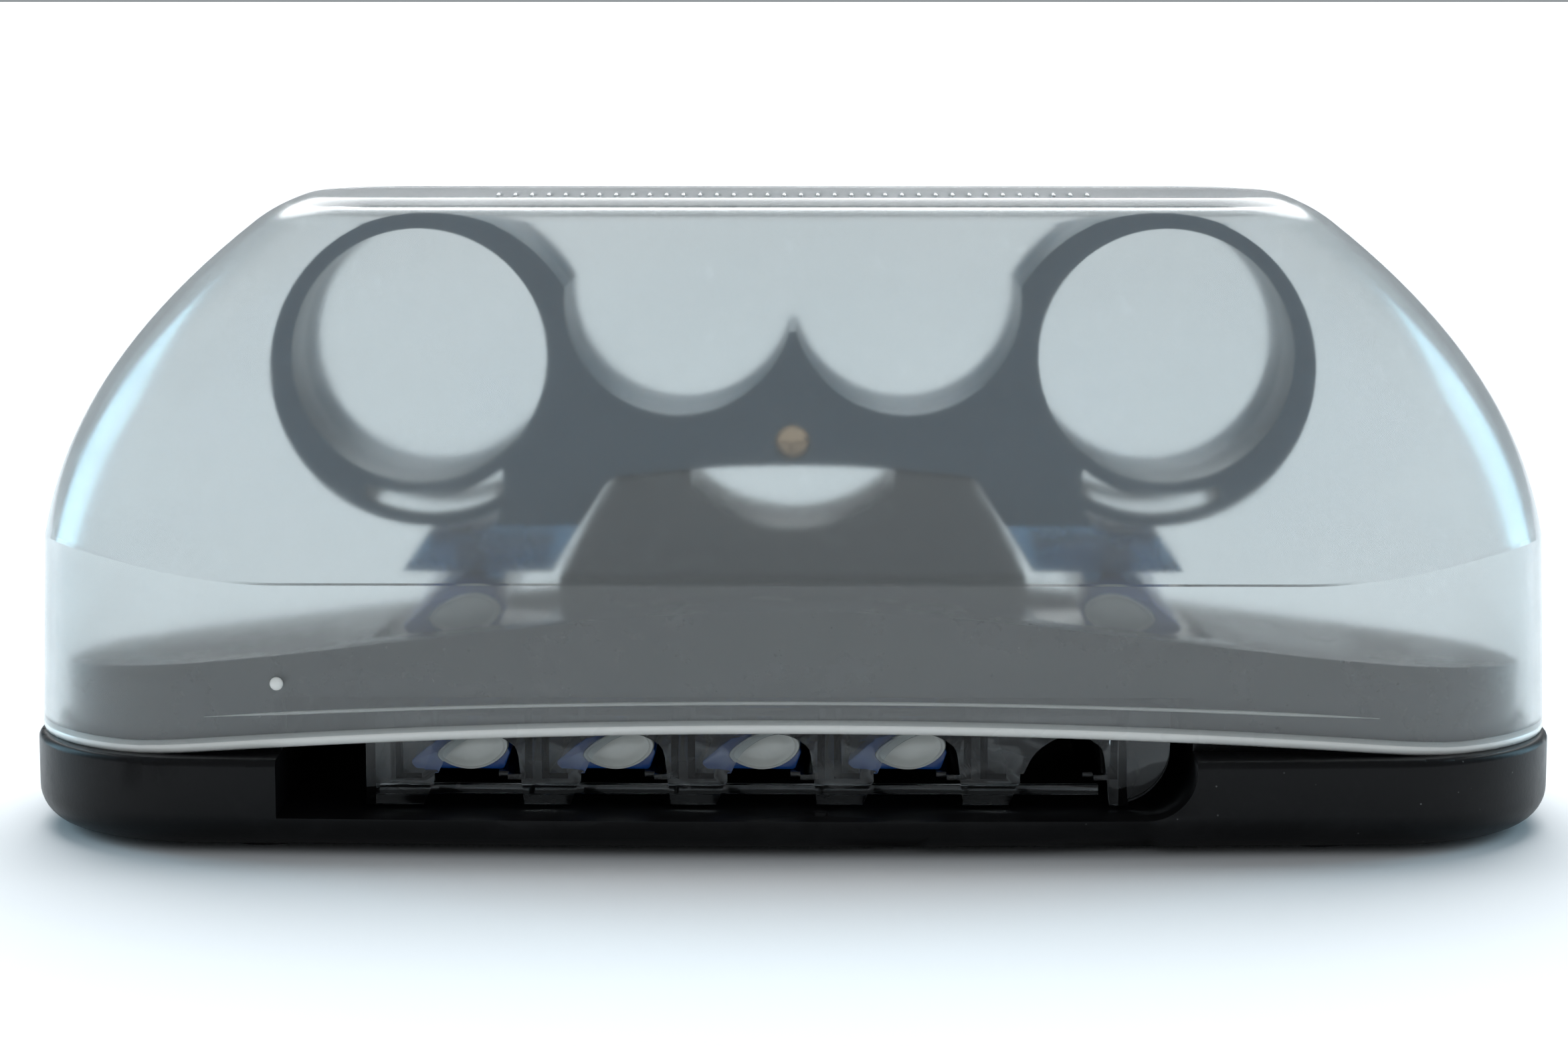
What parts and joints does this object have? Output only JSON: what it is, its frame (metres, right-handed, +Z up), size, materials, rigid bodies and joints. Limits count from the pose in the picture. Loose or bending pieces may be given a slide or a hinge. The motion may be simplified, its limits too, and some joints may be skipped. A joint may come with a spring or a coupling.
{
  "type": "razor storage case",
  "caption": "Black storage case with a frosted lift-off lid, a knuckle-grip razor with pivoting cartridges on a cradle, and a clear drawer of refills.",
  "frame": {"origin": "middle of the case on the surface it stands on", "axes": "+Z up, -Y towards the drawer front, +X to the right seen from the front"},
  "size_m": [0.1706, 0.0715, 0.07],
  "materials": {
    "black_plastic": "fine satin moulding",
    "black_plastic_deck": "satin moulding",
    "foot_rubber": "matt",
    "screw_steel": "zinc plated",
    "frosted_lid": "frosted translucent polypropylene",
    "handle_plastic": "soft satin moulding",
    "cartridge_blue": "moulded",
    "blade_steel": "ground",
    "glide_strip": "waxy lubricating strip",
    "guard_rubber": "finned",
    "cap_white": "moulded",
    "carrier_blue": "moulded",
    "pin_steel": "ground",
    "spring_steel": "drawn wire",
    "clear_tray": "clear polystyrene"
  },
  "bodies": {
    "case_base": {"base_shell": "black_plastic", "cradle_deck": "black_plastic_deck", "rubber_feet": "foot_rubber", "base_screws": "screw_steel"},
    "lid": {"lid": "frosted_lid"},
    "razor": {"handle_front": "handle_plastic", "handle_back": "handle_plastic", "handle_screw": "screw_steel", "carrier_left": "carrier_blue", "pivot_pin_left": "pin_steel", "return_spring_left": "spring_steel", "carrier_right": "carrier_blue", "pivot_pin_right": "pin_steel", "return_spring_right": "spring_steel"},
    "head_left": {"head_clip_left": "carrier_blue", "head_left_housing": "cartridge_blue", "head_left_blades": "blade_steel", "head_left_glide_strip": "glide_strip", "head_left_guard": "guard_rubber", "head_left_end_caps": "cap_white"},
    "head_right": {"head_clip_right": "carrier_blue", "head_right_housing": "cartridge_blue", "head_right_blades": "blade_steel", "head_right_glide_strip": "glide_strip", "head_right_guard": "guard_rubber", "head_right_end_caps": "cap_white"},
    "refill_tray": {"refill_tray": "clear_tray", "refill_1_housing": "cartridge_blue", "refill_1_blades": "blade_steel", "refill_1_glide_strip": "glide_strip", "refill_1_guard": "guard_rubber", "refill_1_end_caps": "cap_white", "refill_2_housing": "cartridge_blue", "refill_2_blades": "blade_steel", "refill_2_glide_strip": "glide_strip", "refill_2_guard": "guard_rubber", "refill_2_end_caps": "cap_white", "refill_3_housing": "cartridge_blue", "refill_3_blades": "blade_steel", "refill_3_glide_strip": "glide_strip", "refill_3_guard": "guard_rubber", "refill_3_end_caps": "cap_white", "refill_4_housing": "cartridge_blue", "refill_4_blades": "blade_steel", "refill_4_glide_strip": "glide_strip", "refill_4_guard": "guard_rubber", "refill_4_end_caps": "cap_white"}
  },
  "joints": [
    {"name": "lid_lift", "type": "slide", "parent": "case_base", "child": "lid", "axis": [0, 0, 1], "range_m": [0, 0.11]},
    {"name": "razor_lift", "type": "slide", "parent": "case_base", "child": "razor", "axis": [0, 0, 1], "range_m": [0, 0.055]},
    {"name": "tray_slide", "type": "slide", "parent": "case_base", "child": "refill_tray", "axis": [0, -1, 0], "range_m": [0, 0.0385]},
    {"name": "head_tilt_left", "type": "hinge", "parent": "razor", "child": "head_left", "pos_m": [-0.0372, 0, 0.028], "axis": [0, 1, 0], "range_deg": [-12, 12], "stiffness_Nm_per_rad": 0.01},
    {"name": "head_tilt_right", "type": "hinge", "parent": "razor", "child": "head_right", "pos_m": [0.0372, 0, 0.028], "axis": [0, 1, 0], "range_deg": [-12, 12], "stiffness_Nm_per_rad": 0.01}
  ],
  "couplings": [
    {"joint": "razor_lift", "follows": "lid_lift", "ratio": 0.5},
    {"joint": "tray_slide", "follows": "lid_lift", "ratio": 0.35}
  ]
}
